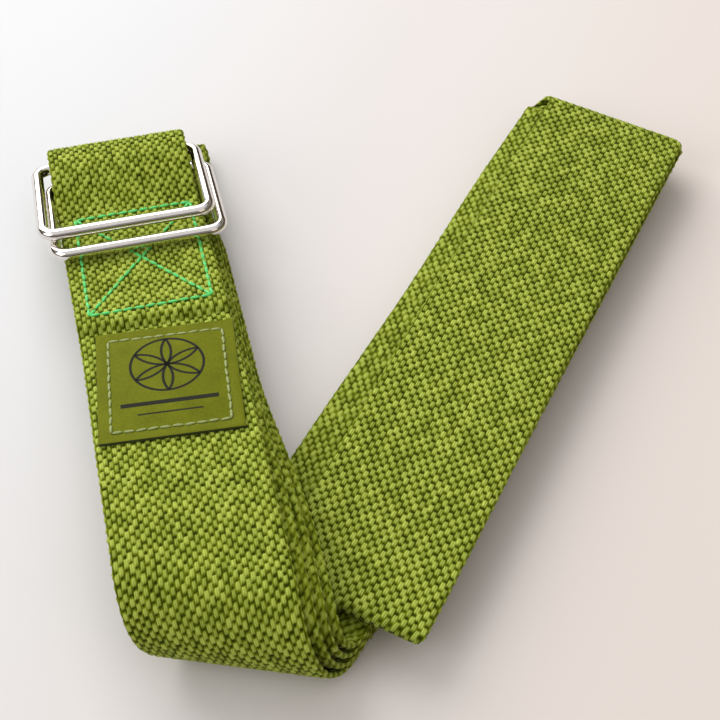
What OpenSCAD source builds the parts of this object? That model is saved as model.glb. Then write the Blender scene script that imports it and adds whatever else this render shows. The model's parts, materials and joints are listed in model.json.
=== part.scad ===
// Stretching strap: one long length of flat webbing with a sewn loop that holds two wire rings,
// a stitched label patch, and the whole strap folded back and forth into a flat V.
// Millimetres. The strap lies on z = 0. The origin is under the lowest layer of the right arm,
// where its centreline crosses the line at which the layers start to turn. +Y runs along the
// middle of the V, away from its point.
// The webbing is one real piece. It is drawn as adjoining lengths: runs, turns and folds.

// Which node to draw

/* [Webbing] */
// Width of the webbing
strap_width = 37; // [30:1:50]
// Thickness of the webbing
strap_thickness = 1.9; // [1.5:0.1:2.6]
// Air between two layers lying on each other
layer_gap = 0.15; // [0.1:0.05:0.4]

/* [Layout] */
// Angle of each arm from the middle of the V
arm_angle = 21; // [16:1:26]
// Open radius inside the innermost turn at the point of the V
turn_open_radius = 5.4; // [5:0.2:9]
// Turn of the top pair of right layers against the layers under them
upper_turn = 2; // [0:0.5:4]
// Sideways shift of the top pair of right layers at the turn line
upper_shift = 11; // [4:1:14]
// Length of the left arm, from the turn line to the middle of the loop's rounded end
left_length = 136.5; // [115:1:165]
// Length of the right arm, from the turn line to the middle of its outer far fold
right_length = 171; // [140:1:205]

/* [Rings] */
// Free play of a ring's inner width, on each side of the webbing
ring_side_play = 1.4; // [1.4:0.1:3]
// Inner length of a ring, from near bar to far bar
ring_inner_length = 27.5; // [25:0.5:31]
// Diameter of the ring wire
ring_wire = 3.1; // [2.6:0.1:3.6]
// Corner radius at the middle of the wire
ring_corner = 3.4; // [3:0.1:4]
// Distance that the upper ring sits further along the arm, in its own plane
ring_step = 4.4; // [4.2:0.1:5]
// Sideways offset of each ring from the middle of the webbing
ring_offset = 1.1; // [0:0.1:1.1]

/* [Label] */
// Width of the label patch
label_width = 33; // [28:0.5:36]
// Length of the label patch along the webbing
label_length = 36; // [28:0.5:37]
// Thickness of the label patch
label_thickness = 0.9; // [0.6:0.1:1.4]
// Turn of the label patch against the webbing
label_turn = -4.5; // [-5:0.5:5]
// Distance of the label's thread line from its edge
label_margin = 2.9; // [2:0.1:4]

/* [Stitching] */
// Width of the crossed stitching box
box_width = 30; // [22:1:32]
// Length of the crossed stitching box
box_length = 35.5; // [30:0.5:37]
// Width of a line of thread
thread_width = 0.9; // [0.6:0.1:1.2]
// Height of a line of thread above what it is sewn on
thread_height = 0.35; // [0.25:0.05:0.6]

/* [Hidden] */
// Every node, in the order along the strap, then the hardware and trim
// Webbing thickness, short name
t = strap_thickness;
// Height from one layer to the next
pitch = t + layer_gap;
// Half of the webbing's width
half = strap_width / 2;
// Tangent of the arm angle
arm_tan = tan(arm_angle);
// Half of the webbing's width measured along the turn line
skew_half = half / cos(arm_angle);
// Radius of each turn at the middle of its layer, outermost first
turn_r = [for (i = [0:3]) turn_open_radius + t / 2 + (3 - i) * pitch];
// Height of the axis that the layers turn about
turn_z = t / 2 + turn_r[0];
// Sideways place of each left layer on the turn line
left_x = [for (i = [0:3]) -PI * turn_r[i] * arm_tan];
// Where the left arm starts to sink, past the skewed end
sink_start = half * arm_tan + 0.7;
// Length over which the sinking starts and ends
sink_ease = 24;
// Where the left arm has reached the table
sink_end = left_length + 11.5;
// Height of the lowest left layer at the turn
sink_top = turn_z + turn_r[3];
// Slope of the left arm between the eased ends
sink_slope = (sink_top - t / 2) / (sink_end - sink_start - sink_ease);
// The same slope as an angle
sink_angle = atan(sink_slope);
// Far side of the crossed stitching box along the arm
box_far = left_length - 23.5;
// Near side of the crossed stitching box
box_near = box_far - box_length;
// Where the lower ply of the loop ends, just past the stitching
ply_end = box_near - 2.3;
// Where the top ply comes down to the layer below, on the near side of the lower ply's end
ply_step = ply_end - 3;
// Middle of the label along the arm
label_s = ply_step - 0.5 - label_length / 2 - label_width / 2 * sin(abs(label_turn));
// Clearance of a ring's near bar from the thread under it
bar_clear = 0.35;
// Clearance of a ring's far bar, whose corners swing, from the webbing round it
far_clear = 0.7;
// Distance between the planes of the two rings
ring_lift = ring_wire + 0.33;
// Ring length between the middles of its bars
ring_l = ring_inner_length + ring_wire;
// Ring width between the middles of its bars
ring_w = strap_width + 2 * ring_side_play + ring_wire;
// Place of the lower ring's far bar along the arm
lower_s = left_length - 7;
// Number of segments in a turn
turn_steps = 30;
// Number of segments in a fold
fold_steps = 16;
// Middle of the fold that joins the two lowest right layers
fold_low_s = right_length - 5;
// Angle of the top pair of right layers
upper_angle = arm_angle - upper_turn;
// Length of the top pair, level with the layers that it folds over from
upper_end = right_length * cos(arm_angle) / cos(upper_angle);
// Middle of the fold tucked in at the near end of the top pair
tuck_s = 4.6;
// Middle of the fold that joins the second and third left layers
left_fold_s = left_length + 7;
// Where the free end of the strap stops
free_end_s = left_length - 2;

// Height of the middle of the lowest left layer at s along the arm
function sink(s) =
    s <= sink_start ? sink_top
    : s < sink_start + sink_ease ? sink_top - sink_slope * pow(s - sink_start, 2) / (2 * sink_ease)
    : s < sink_end - sink_ease ? sink_top - sink_slope * (s - sink_start - sink_ease / 2)
    : s < sink_end ? t / 2 + sink_slope * pow(sink_end - s, 2) / (2 * sink_ease)
    : t / 2;

// A value that goes smoothly from 0 at a to 1 at b
function ease(x, a, b) = let (u = max(0, min(1, (x - a) / (b - a)))) u * u * (3 - 2 * u);

// Height of the middle of the lower ring's far bar
lower_far_z = sink(lower_s) + 3 * pitch + t / 2 + far_clear + ring_wire / 2;
// Height of the middle of the lower ring's near bar
lower_near_z = sink(lower_s - ring_l * 0.975) + 4 * pitch + t / 2 + bar_clear + thread_height + ring_wire / 2;
// Tilt of both rings
ring_tilt = asin((lower_near_z - lower_far_z) / ring_l);
// Place of the upper ring's far bar along the arm
upper_s = lower_s + ring_step * cos(ring_tilt) + ring_lift * sin(ring_tilt);
// Height of the middle of the upper ring's far bar
upper_far_z = lower_far_z + ring_lift * cos(ring_tilt) - ring_step * sin(ring_tilt);
// Height between the two plies of the loop at its rounded end, middle to middle
loop_high = upper_far_z + ring_wire / 2 + far_clear + t / 2 - sink(upper_s) - 3 * pitch;

// Height of the loop's top ply above the lowest layer
function loop_top(s) = 4 * pitch + (loop_high - pitch) * ease(s, box_far + 1.5, left_length - 3.5);
// Height of the top layer above the lowest one, from the turn to the loop
function top_layer(s) = 3 * pitch + pitch * ease(s, ply_step, ply_end);
// Stations shared by all left layers where the arm bends, between a and b
function stops(a, b) = [for (s = concat([for (i = [0:6]) sink_start + i * sink_ease / 6],
    [for (i = [0:6]) sink_end - sink_ease + i * sink_ease / 6])) if (s > a + 0.2 && s < b - 0.2) s];

// A level section across a run at s, its middle at height z; up is -1 on the way back
function flat(s, z, up = 1) = let (h = up * t / 2)
    [[-half, s, z - h], [half, s, z - h], [half, s, z + h], [-half, s, z + h]];
// A level section along the turn line, for an arm turned by a
function skewed(z, a) = let (k = half * tan(a), h = t / 2)
    [[-half, k, z - h], [half, -k, z - h], [half, -k, z + h], [-half, k, z + h]];
// A section with its middle at p, half width b and half thickness n
function section(p, b, n) = [p - b - n, p + b - n, p + b + n, p - b + n];

// Sections of the second, third and fourth left layers, from the turn line to the end
function left_layer(i, end) = concat([skewed(sink_top + (3 - i) * pitch, arm_angle)],
    [for (s = stops(0, end)) flat(s, sink(s) + (3 - i) * pitch)],
    [flat(end, sink(end) + (3 - i) * pitch)]);
// Sections of the first left layer, which climbs to the loop's top ply
function first_layer() = concat([skewed(sink_top + 3 * pitch, arm_angle)],
    [for (s = stops(0, ply_step)) flat(s, sink(s) + 3 * pitch)],
    [for (i = [0:4]) let (s = ply_step + (ply_end - ply_step) * i / 4) flat(s, sink(s) + top_layer(s))]);
// Sections of a turn, wound at a slant so that the arm comes out at the mirrored angle
function turn_layer(i) = [for (j = [0:turn_steps]) let (a = 180 * j / turn_steps, r = turn_r[i])
    section([left_x[i] + r * a * PI / 180 * arm_tan, -r * sin(a), turn_z + r * cos(a)],
        [skew_half, 0, 0], [0, sin(a), -cos(a)] * t / 2)];
// Sections of one of the four lower right layers
function right_layer(i, end) = [skewed(t / 2 + i * pitch, -arm_angle), flat(end, t / 2 + i * pitch)];
// Sections of a fold at the far end of two layers, up from height z by 2 r
function fold(s, z, r) = [for (j = [0:fold_steps]) let (a = 180 * j / fold_steps)
    section([0, s + r * sin(a), z + r - r * cos(a)], [half, 0, 0], [0, -sin(a), cos(a)] * t / 2)];
// Sections of a fold at the near end of two layers
function near_fold(s, z, r) = [for (j = [0:fold_steps]) let (a = 180 * j / fold_steps)
    section([0, s - r * sin(a), z + r - r * cos(a)], [half, 0, 0], [0, -sin(a), -cos(a)] * t / 2)];
// Sections of the left arm's far fold, in the frame of its third layer, shifting to the second
function left_fold(s) = let (d = left_x[1] - left_x[2], r = pitch / 2)
    [for (j = [0:fold_steps]) let (a = 180 * j / fold_steps, u = j / fold_steps)
        section([u * d * cos(arm_angle), s - u * d * sin(arm_angle) + r * sin(a),
            sink(s) + pitch + r - r * cos(a)], [half, 0, 0], [0, -sin(a), cos(a)] * t / 2)];
// A point on a right layer's middle line: u is 0 for the lower layers and 1 for the top pair
function right_point(s, u) = let (a = arm_angle - u * upper_turn)
    [u * upper_shift + s * sin(a), s * cos(a)];
// Sections of a far fold from a lower right layer to one of the top pair
function right_fold(z, r) = [for (j = [0:fold_steps])
    let (a = 180 * j / fold_steps, u = j / fold_steps, h = arm_angle - u * upper_turn,
        p = right_point(right_length, 0) * (1 - u) + right_point(upper_end, 1) * u)
    section([p[0] + r * sin(a) * sin(h), p[1] + r * sin(a) * cos(h), z + r - r * cos(a)],
        [half * cos(h), -half * sin(h), 0], [-sin(a) * sin(h), -sin(a) * cos(h), cos(a)] * t / 2)];
// Sections of the loop: lower ply, rounded end and top ply
function loop_sections() = let (z3 = 3 * pitch, s1 = left_length, r = loop_high / 2) concat(
    [for (s = concat([ply_end], stops(ply_end, s1))) flat(s, sink(s) + z3)],
    [for (j = [0:fold_steps]) let (a = 180 * j / fold_steps)
        section([0, s1 + r * sin(a), sink(s1) + z3 + r - r * cos(a)],
            [half, 0, 0], [0, -sin(a), cos(a)] * t / 2)],
    [for (i = [1:14]) let (s = s1 + (box_far - s1) * i / 14) flat(s, sink(s) + loop_top(s), -1)],
    [flat(ply_end, sink(ply_end) + 4 * pitch, -1)]);

// A solid through sections of four points each
module loft(sections) {
    n = len(sections);
    points = [for (q = sections) each q];
    sides = [for (i = [0:n - 2]) for (k = [0:3]) each [
        [4 * i + k, 4 * i + (k + 1) % 4, 4 * i + 4 + (k + 1) % 4],
        [4 * i + k, 4 * i + 4 + (k + 1) % 4, 4 * i + 4 + k]]];
    first = [[3, 2, 1, 0]];
    last = [[4 * n - 4, 4 * n - 3, 4 * n - 2, 4 * n - 1]];
    polyhedron(points, faces = concat(first, sides, last));
}

// Frame of left layer i: its near end on the turn line, +Y along the arm
module left_frame(i) {
    translate([left_x[i], 0, 0]) rotate([0, 0, arm_angle]) children();
}

// Frame of the four lower right layers
module right_frame() {
    rotate([0, 0, -arm_angle]) children();
}

// Frame of the top pair of right layers
module upper_frame() {
    translate([upper_shift, 0, 0]) rotate([0, 0, -upper_angle]) children();
}

// Puts flat trim on the sloping left arm at s, h above the middle of the lowest layer
module on_strap(s, h) {
    left_frame(0) translate([0, s, sink(s) + h]) rotate([-sink_angle, 0, 0]) children();
}

module webbing_loop() {
    color("yellowgreen") left_frame(0) loft(loop_sections());
}

module webbing_left_1() {
    color("yellowgreen") left_frame(0) loft(first_layer());
}

module webbing_left_2() {
    color("yellowgreen") left_frame(1) loft(left_layer(1, left_fold_s));
}

module webbing_left_3() {
    color("yellowgreen") left_frame(2) loft(left_layer(2, left_fold_s));
}

module webbing_left_4() {
    color("yellowgreen") left_frame(3) loft(left_layer(3, free_end_s));
}

module webbing_turn_1() {
    color("olivedrab") loft(turn_layer(0));
}

module webbing_turn_2() {
    color("olivedrab") loft(turn_layer(1));
}

module webbing_turn_3() {
    color("olivedrab") loft(turn_layer(2));
}

module webbing_turn_4() {
    color("olivedrab") loft(turn_layer(3));
}

module webbing_right_1() {
    color("yellowgreen") right_frame() loft(right_layer(0, fold_low_s));
}

module webbing_right_2() {
    color("yellowgreen") right_frame() loft(right_layer(1, fold_low_s));
}

module webbing_right_3() {
    color("yellowgreen") right_frame() loft(right_layer(2, right_length));
}

module webbing_right_4() {
    color("yellowgreen") right_frame() loft(right_layer(3, right_length));
}

module webbing_right_5() {
    color("yellowgreen") upper_frame()
        loft([flat(tuck_s, t / 2 + 4 * pitch), flat(upper_end, t / 2 + 4 * pitch)]);
}

module webbing_right_6() {
    color("yellowgreen") upper_frame()
        loft([flat(tuck_s, t / 2 + 5 * pitch), flat(upper_end, t / 2 + 5 * pitch)]);
}

module webbing_fold_left() {
    color("olivedrab") left_frame(2) loft(left_fold(left_fold_s));
}

module webbing_fold_lower() {
    color("olivedrab") right_frame() loft(fold(fold_low_s, t / 2, pitch / 2));
}

module webbing_fold_outer() {
    color("olivedrab") loft(right_fold(t / 2 + 2 * pitch, 1.5 * pitch));
}

module webbing_fold_inner() {
    color("olivedrab") loft(right_fold(t / 2 + 3 * pitch, pitch / 2));
}

module webbing_fold_tucked() {
    color("olivedrab") upper_frame() loft(near_fold(tuck_s, t / 2 + 4 * pitch, pitch / 2));
}

// A rectangular ring of round wire: far bar on the X axis, near bar at -ring_l along Y
module ring() {
    w = ring_w / 2;
    c = ring_corner;
    for (y = [0, -ring_l])
        translate([-w + c, y, 0]) rotate([0, 90, 0]) cylinder(d = ring_wire, h = 2 * (w - c), $fn = 48);
    for (x = [-w, w])
        translate([x, -c, 0]) rotate([90, 0, 0]) cylinder(d = ring_wire, h = ring_l - 2 * c, $fn = 48);
    for (v = [[w - c, -c, 0], [-w + c, -c, 90], [-w + c, c - ring_l, 180], [w - c, c - ring_l, 270]])
        translate([v[0], v[1], 0]) rotate([0, 0, v[2]])
            rotate_extrude(angle = 90, $fn = 64) translate([c, 0]) circle(d = ring_wire, $fn = 48);
}

module ring_upper() {
    color("silver") left_frame(0) translate([-ring_offset, upper_s, upper_far_z])
        rotate([-ring_tilt, 0, 0]) ring();
}

module ring_lower() {
    color("lightgray") left_frame(0) translate([ring_offset, lower_s, lower_far_z])
        rotate([-ring_tilt, 0, 0]) ring();
}

module label_patch() {
    color("olive") on_strap(label_s, 3 * pitch + t / 2) rotate([0, 0, label_turn])
        translate([-label_width / 2, -label_length / 2, 0])
            cube([label_width, label_length, label_thickness]);
}

module label_stitching() {
    x = label_width / 2 - label_margin;
    y = label_length / 2 - label_margin;
    w = thread_width / 2;
    color("darkkhaki") on_strap(label_s, 3 * pitch + t / 2) rotate([0, 0, label_turn])
        translate([0, 0, label_thickness])
            difference() {
                translate([-x - w, -y - w, 0]) cube([2 * (x + w), 2 * (y + w), thread_height]);
                translate([w - x, w - y, -1]) cube([2 * (x - w), 2 * (y - w), thread_height + 2]);
            }
}

// A line of thread from a to b
module thread_line(a, b) {
    d = b - a;
    w = thread_width / 2;
    translate([a[0], a[1], 0]) rotate([0, 0, atan2(d[1], d[0])])
        translate([-w, -w, 0]) cube([norm(d) + 2 * w, 2 * w, thread_height]);
}

module loop_stitching() {
    x = box_width / 2;
    y = box_length / 2;
    color("limegreen") on_strap((box_near + box_far) / 2, 4 * pitch + t / 2) {
        thread_line([-x, -y], [x, -y]);
        thread_line([-x, y], [x, y]);
        thread_line([-x, -y], [-x, y]);
        thread_line([x, -y], [x, y]);
        thread_line([-x, -y], [x, y]);
        thread_line([-x, y], [x, -y]);
    }
}

webbing_loop();
webbing_left_1();
webbing_turn_1();
webbing_right_1();
webbing_fold_lower();
webbing_right_2();
webbing_turn_2();
webbing_left_2();
webbing_fold_left();
webbing_left_3();
webbing_turn_3();
webbing_right_3();
webbing_fold_outer();
webbing_right_6();
webbing_fold_tucked();
webbing_right_5();
webbing_fold_inner();
webbing_right_4();
webbing_turn_4();
webbing_left_4();
ring_upper();
ring_lower();
label_patch();
label_stitching();
loop_stitching();
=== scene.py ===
import json
import math
import random

import bpy
import numpy as np
from bpy.props import FloatProperty, FloatVectorProperty, IntProperty, PointerProperty
from mathutils import Matrix, Vector


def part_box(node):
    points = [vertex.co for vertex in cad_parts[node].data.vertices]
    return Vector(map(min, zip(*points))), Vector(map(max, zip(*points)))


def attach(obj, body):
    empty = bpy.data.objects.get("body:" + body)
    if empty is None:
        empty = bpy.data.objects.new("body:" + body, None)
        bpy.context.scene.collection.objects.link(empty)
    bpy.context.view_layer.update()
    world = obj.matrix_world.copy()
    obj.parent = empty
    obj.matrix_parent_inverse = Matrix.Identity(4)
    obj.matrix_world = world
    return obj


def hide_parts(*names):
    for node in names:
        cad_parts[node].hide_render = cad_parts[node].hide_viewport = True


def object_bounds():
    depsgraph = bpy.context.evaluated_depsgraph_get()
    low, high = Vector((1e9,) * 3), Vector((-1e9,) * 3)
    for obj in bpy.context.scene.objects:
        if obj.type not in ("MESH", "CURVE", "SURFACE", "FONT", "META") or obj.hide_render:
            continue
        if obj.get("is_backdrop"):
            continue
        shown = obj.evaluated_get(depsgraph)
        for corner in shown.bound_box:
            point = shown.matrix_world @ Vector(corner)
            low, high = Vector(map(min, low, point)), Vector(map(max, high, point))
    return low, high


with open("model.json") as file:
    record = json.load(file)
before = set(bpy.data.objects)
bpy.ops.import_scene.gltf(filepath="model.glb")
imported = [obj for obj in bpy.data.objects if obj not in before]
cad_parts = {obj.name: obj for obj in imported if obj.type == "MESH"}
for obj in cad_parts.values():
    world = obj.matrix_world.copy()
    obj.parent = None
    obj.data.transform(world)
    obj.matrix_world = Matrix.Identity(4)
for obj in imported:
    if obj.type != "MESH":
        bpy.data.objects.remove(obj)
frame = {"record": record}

bl_info = {
    "name": "Stretching Strap",
    "version": (1, 0, 0),
    "blender": (4, 5, 0),
    "location": "View3D > Sidebar > Strap",
    "description": "Builds a folded cotton stretching strap with two rings and a sewn label",
    "category": "Object",
}

MM = 0.001
RIM = 0.38  # millimetres between the outermost yarns and the edge
VARIETY = 97  # floats along a column before their random shares repeat
UV_EDGE = 0.18  # crosswise UV at the outermost yarns, from 0 at the middle
BULGE = 1.09  # stretch of the turns towards the near side
LOOP_BACK = 0.6  # millimetres short of the left arm's length at which the loop's arc begins
FRONT_SLIP = -0.4  # millimetres by which the front stretch lies to one side
TOP_EXTRA = 0.9  # millimetres added to each side of the top right layer
INNER_FOLD_SLIP = 1.8  # millimetres of sideways slip at the top pair's end of the inner far fold
PLY_TILT = 0.8  # share of the arm's slope used for the normals of the loop's lower ply
TIGHT, LOOSE = 0.30, 0.35  # radians between stations round the small folds
CAMERA_AT = (38.59, -148.06, 302.14)  # millimetres
CAMERA_AIM = (6.9, 77.4, 0)  # millimetres
STITCH_STRAY = 0.08  # most millimetres by which a stitch strays along or across its line
STITCH_RISE = 0.03  # most millimetres by which it strays up or down
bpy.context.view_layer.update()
HINGES = {j["name"]: j for j in frame["record"]["behaviour"]["joints"]}


def size(text, default, low, high):
    """A length in millimetres that a user can change."""
    return FloatProperty(name=text, description=text + ", in millimetres", default=default, min=low, max=high)


def colour(text, value):
    """A colour that a user can change."""
    return FloatVectorProperty(name=text, description=text, subtype="COLOR", size=4, min=0, max=1,
                               default=(*value, 1))


class StrapWebbing(bpy.types.PropertyGroup):
    """Sizes of the webbing and of its folded path."""

    width: size("Webbing width", 37, 20, 60)
    thickness: size("Webbing thickness", 1.9, 1, 4)
    gap: size("Gap between layers", 0.15, 0.05, 1)
    arm_angle: FloatProperty(name="Arm angle", description="Angle of each arm from the middle of the V",
                             subtype="ANGLE", default=math.radians(21))
    upper_turn: FloatProperty(name="Top pair turn", description="Turn of the top pair of right layers",
                              subtype="ANGLE", default=math.radians(2))
    upper_shift: size("Top pair shift", 11, 0, 20)
    turn_open: size("Open radius of the innermost turn", 5.4, 3, 12)
    left_length: size("Left arm length", 136.5, 80, 200)
    right_length: size("Right arm length", 171, 80, 250)
    grain_length: size("Weave repeat along the webbing", 2.6, 2, 10)
    columns: IntProperty(name="Yarn columns", description="Columns of warp yarns across",
                         default=33, min=8, max=60)
    relief: size("Depth of the weave", 0.46, 0, 1)


class StrapTrim(bpy.types.PropertyGroup):
    """Sizes of the rings, the label and the stitching."""

    wire: size("Ring wire diameter", 3.1, 1, 6)
    ring_length: size("Ring inner length", 27.5, 10, 60)
    ring_play: size("Ring side play", 1.1, 0.5, 5)
    ring_corner: size("Ring corner radius", 3.4, 2, 8)
    ring_offset: size("Ring sideways offset", 1.1, 0, 3)
    label_width: size("Label width", 33, 10, 60)
    label_length: size("Label length", 36, 10, 60)
    label_thickness: size("Label thickness", 0.9, 0.2, 3)
    label_turn: FloatProperty(name="Label turn", description="Turn of the label on the webbing",
                              subtype="ANGLE", default=math.radians(-4.5))
    label_margin: size("Label seam margin", 2.9, 1, 6)
    box_width: size("Crossed box width", 30, 10, 60)
    box_length: size("Crossed box length", 35.5, 10, 60)
    box_climb: size("Climb of the box onto the loop", 2.4, 0, 10)
    stitch: size("Stitch length", 2.75, 1, 6)


class StrapLooks(bpy.types.PropertyGroup):
    """Colours of the finishes, with the painted shade of the weave's hollows and of the floor."""

    yarn: colour("Yarn tops", (0.600, 0.706, 0.130))
    # Near-black painted shade for the weave's hollows, not a colour of the yarn itself.
    hollow_painted_shade: colour("Painted shade in the weave's hollows", (0.045, 0.062, 0.0))
    thread: colour("Loop thread", (0.10, 0.72, 0.15))
    label: colour("Label face", (0.170, 0.190, 0.010))
    label_edge: colour("Label cut edge", (0.035, 0.045, 0.010))
    label_thread: colour("Label thread", (0.30, 0.36, 0.10))
    print_ink: colour("Label print", (0.012, 0.013, 0.004))
    metal: colour("Polished nickel", (0.80, 0.755, 0.71))
    # The floor's colour runs from cool on the lit side to darker and warmer on the right and near side:
    # painted warm shade.
    floor: colour("Floor away from the painted warm shade", (0.705, 0.710, 0.728))
    floor_painted_warm_shade: colour("Floor under the painted warm shade", (0.755, 0.683, 0.640))


class Layout:
    """The strap's path in millimetres: the CAD model's rules, with slips, a bulge and a squeeze added."""

    def __init__(self, w, trim):
        self.t = w.thickness
        self.p = w.thickness + w.gap
        self.half = w.width / 2
        self.a = w.arm_angle
        self.upper_turn = w.upper_turn
        self.upper_a = w.arm_angle - w.upper_turn
        self.shift = w.upper_shift
        tan_a = math.tan(self.a)
        self.r = [w.turn_open + self.t / 2 + (3 - i) * self.p for i in range(4)]
        self.turn_z = self.t / 2 + self.r[0]
        self.left_x = [-math.pi * r * tan_a for r in self.r]
        self.s_end = w.left_length
        self.right = w.right_length
        self.start = self.half * tan_a + 0.7
        self.soft = 24
        self.down = w.left_length + 11.5
        self.top = self.turn_z + self.r[3]
        self.slope = (self.top - self.t / 2) / (self.down - self.start - self.soft)
        self.box_far = w.left_length - 23.5
        self.box_near = self.box_far - trim.box_length
        self.ply_end = self.box_near - 2.3
        self.ply_step = self.ply_end - 3
        self.label_s = (self.ply_step - 0.5 - trim.label_length / 2
                        - trim.label_width / 2 * math.sin(abs(trim.label_turn)))
        self.fold_low = w.right_length - 5
        self.upper_end = w.right_length * math.cos(self.a) / math.cos(self.upper_a)
        self.near = 8
        self.tuck = 4.6
        self.left_fold = w.left_length + 7
        self.free_end = w.left_length - 2
        hinge = HINGES["upper_ring_swing"]["pos_m"]
        self.bar_s = (hinge[1] / MM + trim.ring_offset * math.sin(self.a)) / math.cos(self.a)
        self.loop_high = (hinge[2] / MM + trim.wire / 2 + 0.7 + self.t / 2
                          - float(self.sink(self.bar_s)) - 3 * self.p)

    def sink(self, s):
        """Height of the lowest left layer at s along the arm."""
        s = np.asarray(s, float)
        u, v = s - self.start, self.down - s
        z = self.top - self.slope * (u - self.soft / 2)
        z = np.where(u < self.soft, self.top - self.slope * np.square(u) / (2 * self.soft), z)
        z = np.where(u <= 0, self.top, z)
        z = np.where(v < self.soft, self.t / 2 + self.slope * np.square(v) / (2 * self.soft), z)
        return np.where(v <= 0, self.t / 2, z)

    def ease(self, s, a, b):
        """0 up to a, 1 from b on, and a smooth rise between them."""
        u = np.clip((np.asarray(s, float) - a) / (b - a), 0, 1)
        return u * u * (3 - 2 * u)

    def top_layer(self, s):
        """Height of the first left layer, which climbs onto the loop's lower ply."""
        near = 3 * self.p + self.p * self.ease(s, self.ply_step, self.ply_end)
        return near + (self.loop_high - self.p) * self.ease(s, self.box_far + 1.5, self.s_end - 3.5)

    def drift(self, i, s):
        """Sideways slip of left layer i at s. Each slip comes in over its own stretch of the arm."""
        slide, late, end = self.ease(s, 0, 62), self.ease(s, 103, 124), self.ease(s, 122, 143)
        return (-1.5 * self.ease(s, 55, self.s_end), -1.4 * slide - 0.3 * late + 3.0 * end,
                -2.8 * slide - 0.7 * late + 3.2 * end, -4.2 * slide - 1.7 * late)[i]

    def lean(self, s):
        """Sideways slip of the lower right layers at s."""
        return -0.6 * self.ease(s, 5, 60) - 1.5 * self.ease(s, 85, 150)

    def slip(self, s):
        """Sideways slip of the layer under the top one of the right arm."""
        return 1.6 * self.ease(s, 8, 60)

    def aside(self, s):
        """Sideways slip of the top layer of the right arm."""
        return 1.6 - 1.2 * self.ease(s, 10, 110)

    def squeeze(self, s):
        """Share of its width that the webbing keeps where the rings hold it."""
        return 1 - 0.015 * self.ease(s, self.s_end - 26, self.s_end - 4)

    def sloped(self, s, rise):
        """Height and slope of a left layer whose height over the lowest one is rise(s)."""
        z = self.sink(s) + rise(s)
        return z, (self.sink(s + 0.2) + rise(s + 0.2) - self.sink(s - 0.2) - rise(s - 0.2)) / 0.4

    def left(self, i, s, o, rise):
        """Points and outward normals of left layer i, which rolls round the turn where s is low."""
        c, k, r = math.cos(self.a), math.sin(self.a), self.r[i]
        o = o * (self.squeeze(s) if i == 0 else 1) + self.drift(i, s)
        x = self.left_x[i] + o * c - s * k
        y = s * c + o * k
        z, g = self.sloped(s + 0 * o, rise)
        n = np.stack([g * k, -g * c, np.ones_like(x)], -1) / np.sqrt(1 + g * g)[..., None]
        q = np.stack([x, y, z], -1)
        a = np.clip(-y / r, 0, math.pi)
        rolled = np.stack([x, -BULGE * r * np.sin(a), self.turn_z + r * np.cos(a)], -1)
        out = np.stack([0 * x, -np.sin(a), np.cos(a)], -1)
        past = np.stack([x, -y - math.pi * r, 0 * x + self.turn_z - r], -1)
        below = np.stack([0 * x, 0 * x, 0 * x - 1], -1)
        on_turn, on_right = (y < 0)[..., None], (y < -math.pi * r)[..., None]
        q = np.where(on_right, past, np.where(on_turn, rolled, q))
        n = np.where(on_right, below, np.where(on_turn, out, n))
        return q, n

    def turned(self, i, s):
        """The left arm's coordinate of a point at s on right layer i."""
        return -s - math.pi * self.r[i] / math.cos(self.a)

    def arm(self, x0, angle, s, o, z, n_s, n_z):
        """Points and normals of a run whose near end is at x0 on the turn line."""
        c, k = math.cos(angle), math.sin(angle)
        full = 0 * (s + o)
        q = np.stack([x0 + o * c + s * k, -o * k + s * c, z + full], -1)
        n = np.stack([n_s * k + full, n_s * c + full, n_z + full], -1)
        return q, n


def grid(first, last, step):
    """Even stations from first to last, about a step apart."""
    n = max(2, round(abs(last - first) / step))
    return first + (last - first) * np.arange(n) / n


class Run:
    """Collects stations of one stretch of webbing: points, normals and the distance along it."""

    def __init__(self, offsets):
        self.o = offsets[None, :]
        self.points, self.normals = [], []

    def add(self, q, n):
        self.points.append(q)
        self.normals.append(n)

    def finished(self):
        q, n = np.concatenate(self.points), np.concatenate(self.normals)
        middle = q.shape[1] // 2
        steps = np.linalg.norm(np.diff(q[:, middle], axis=0), axis=1)
        along = np.concatenate([[0], np.cumsum(steps)])
        return q, n, along


def grain(o, along, half, w, rng):
    """Height of the weave, 0 in a hollow to 1 on a yarn, and a random share for each float.

    A float is a rounded brick one column wide with a groove down its middle. Every other column is half
    a repeat further along.
    """
    edge = half - RIM
    pitch = 2 * edge / w.columns
    lean = rng.normal(0, 0.015, w.columns + 2)
    kinds = rng.random((VARIETY, w.columns + 2))
    aside = rng.normal(0, 0.035, (VARIETY, w.columns + 2))
    wave = 0.03 * np.sin(0.19 * o + 0.031 * along) + 0.015 * np.sin(0.47 * o - 0.083 * along + 1.3)
    column = np.clip(np.floor((o + edge) / pitch + 1e-6), 0, w.columns - 1).astype(int)
    height, cell = np.zeros_like(o + along), np.zeros_like(o + along)
    for beside in (-1, 0, 1):
        c = column + beside + 1
        phase = along / w.grain_length + wave + 0.5 * (c % 2) + lean[c]
        k = np.round(phase).astype(int)
        kind = kinds[k % VARIETY, c]
        x = ((o + edge) / pitch - (c - 0.5)) + aside[k % VARIETY, c]
        d = (phase - k) * w.grain_length
        wide = 0.50 + 0.06 * kind
        long = (0.385 + 0.045 * kind) * w.grain_length
        dome = np.sqrt(np.clip(1 - np.power(np.abs(x / wide), 3) - np.power(np.abs(d) / long, 4), 0, 1))
        dome *= (0.84 + 0.16 * kind) * (1 - 0.16 * np.exp(-np.square(x / 0.12)))
        cell = np.where(dome > height, kind, cell)
        height = np.maximum(height, dome)
    return height, cell


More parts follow.
